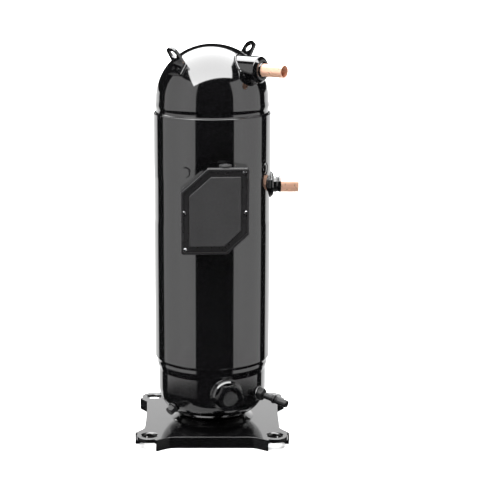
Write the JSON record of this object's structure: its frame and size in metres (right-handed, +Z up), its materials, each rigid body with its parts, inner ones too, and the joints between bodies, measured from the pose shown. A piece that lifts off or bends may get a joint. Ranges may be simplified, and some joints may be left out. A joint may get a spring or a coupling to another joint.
{
  "type": "scroll compressor",
  "caption": "Tall hermetic scroll compressor: black steel shell with domed ends on a square mounting plate, terminal box, copper suction and discharge stubs, sight glass and service valve.",
  "frame": {"origin": "centre of the four mounting holes, on the underside of the base plate's web; the shell's axis passes through it", "axes": "+Z up the shell's axis, -Y out of the terminal box, +X out of the suction stub"},
  "size_m": [0.2505, 0.2389, 0.6025],
  "materials": {
    "black_paint": "high gloss black paint",
    "plate_paint": "gloss black paint",
    "cover_plastic": "fine moulded texture",
    "copper": "bright drawn copper",
    "zinc_steel": "zinc plated",
    "steel": "machined",
    "cast_iron": "machined casting",
    "aluminium": "die cast",
    "bronze": "sintered bronze",
    "winding_copper": "enamelled copper wire",
    "lamination": "stacked electrical sheet",
    "rubber": "moulded",
    "seal_plastic": "moulded block",
    "glass": "polished"
  },
  "bodies": {
    "casing": {"shell": "black_paint", "top_cap": "black_paint", "bottom_cap": "black_paint", "suction_flange": "black_paint", "discharge_boss": "black_paint", "front_lifting_eye": "black_paint", "rear_lifting_eye": "black_paint", "sight_glass_boss": "black_paint", "sight_glass_body": "black_paint", "service_valve_boss": "black_paint", "service_valve_tube": "black_paint", "service_valve_cap": "black_paint", "drain_plug": "black_paint", "terminal_tray": "black_paint", "base_plate": "plate_paint", "terminal_cover": "cover_plastic", "suction_stub": "copper", "discharge_stub": "copper", "cover_screw_1": "zinc_steel", "cover_screw_2": "zinc_steel", "cover_screw_3": "zinc_steel", "cover_screw_4": "zinc_steel", "check_valve_retainer": "steel", "terminal_body": "steel", "terminal_pin_1": "steel", "terminal_pin_2": "steel", "terminal_pin_3": "steel", "thrust_plate": "steel", "separator_plate": "steel", "scroll_bolt_1": "steel", "scroll_bolt_2": "steel", "scroll_bolt_3": "steel", "scroll_bolt_4": "steel", "fixed_scroll": "cast_iron", "bearing_housing": "cast_iron", "lower_bearing_carrier": "cast_iron", "main_bushing": "bronze", "lower_bushing": "bronze", "upper_winding": "winding_copper", "lower_winding": "winding_copper", "stator_core": "lamination", "conduit_plug": "rubber", "terminal_gasket": "rubber", "terminal_plug": "seal_plastic", "sight_glass_lens": "glass"},
    "crank": {"crankshaft": "steel", "upper_counterweight": "cast_iron", "lower_counterweight": "cast_iron", "rotor_core": "lamination", "rotor_cage": "aluminium", "drive_bush": "steel", "oil_pickup": "steel"},
    "orbiting": {"orbiting_scroll": "cast_iron", "hub_bushing": "bronze"},
    "oldham": {"oldham_ring": "aluminium"},
    "seal": {"floating_seal": "aluminium"},
    "valve_disc": {"check_valve_disc": "steel"},
    "valve_core": {"service_valve_core": "bronze"}
  },
  "joints": [
    {"name": "crank_spin", "type": "hinge", "parent": "casing", "child": "crank", "pos_m": [0, 0, 0.36], "axis": [0, 0, 1], "continuous": true},
    {"name": "scroll_orbit", "type": "hinge", "parent": "crank", "child": "orbiting", "pos_m": [0.005, 0, 0.395], "axis": [0, 0, 1], "continuous": true},
    {"name": "oldham_slide", "type": "slide", "parent": "casing", "child": "oldham", "axis": [1, 0, 0], "range_m": [-0.01, 0]},
    {"name": "seal_lift", "type": "slide", "parent": "casing", "child": "seal", "axis": [0, 0, 1], "range_m": [0, 0.001]},
    {"name": "check_valve_lift", "type": "slide", "parent": "casing", "child": "valve_disc", "axis": [0.788, -0.6157, 0], "range_m": [0, 0.003]},
    {"name": "valve_core_press", "type": "slide", "parent": "casing", "child": "valve_core", "axis": [-0.8471, 0.4891, 0.2079], "range_m": [0, 0.002], "stiffness_N_per_m": 400}
  ],
  "couplings": [
    {"joint": "scroll_orbit", "follows": "crank_spin", "ratio": -1}
  ]
}
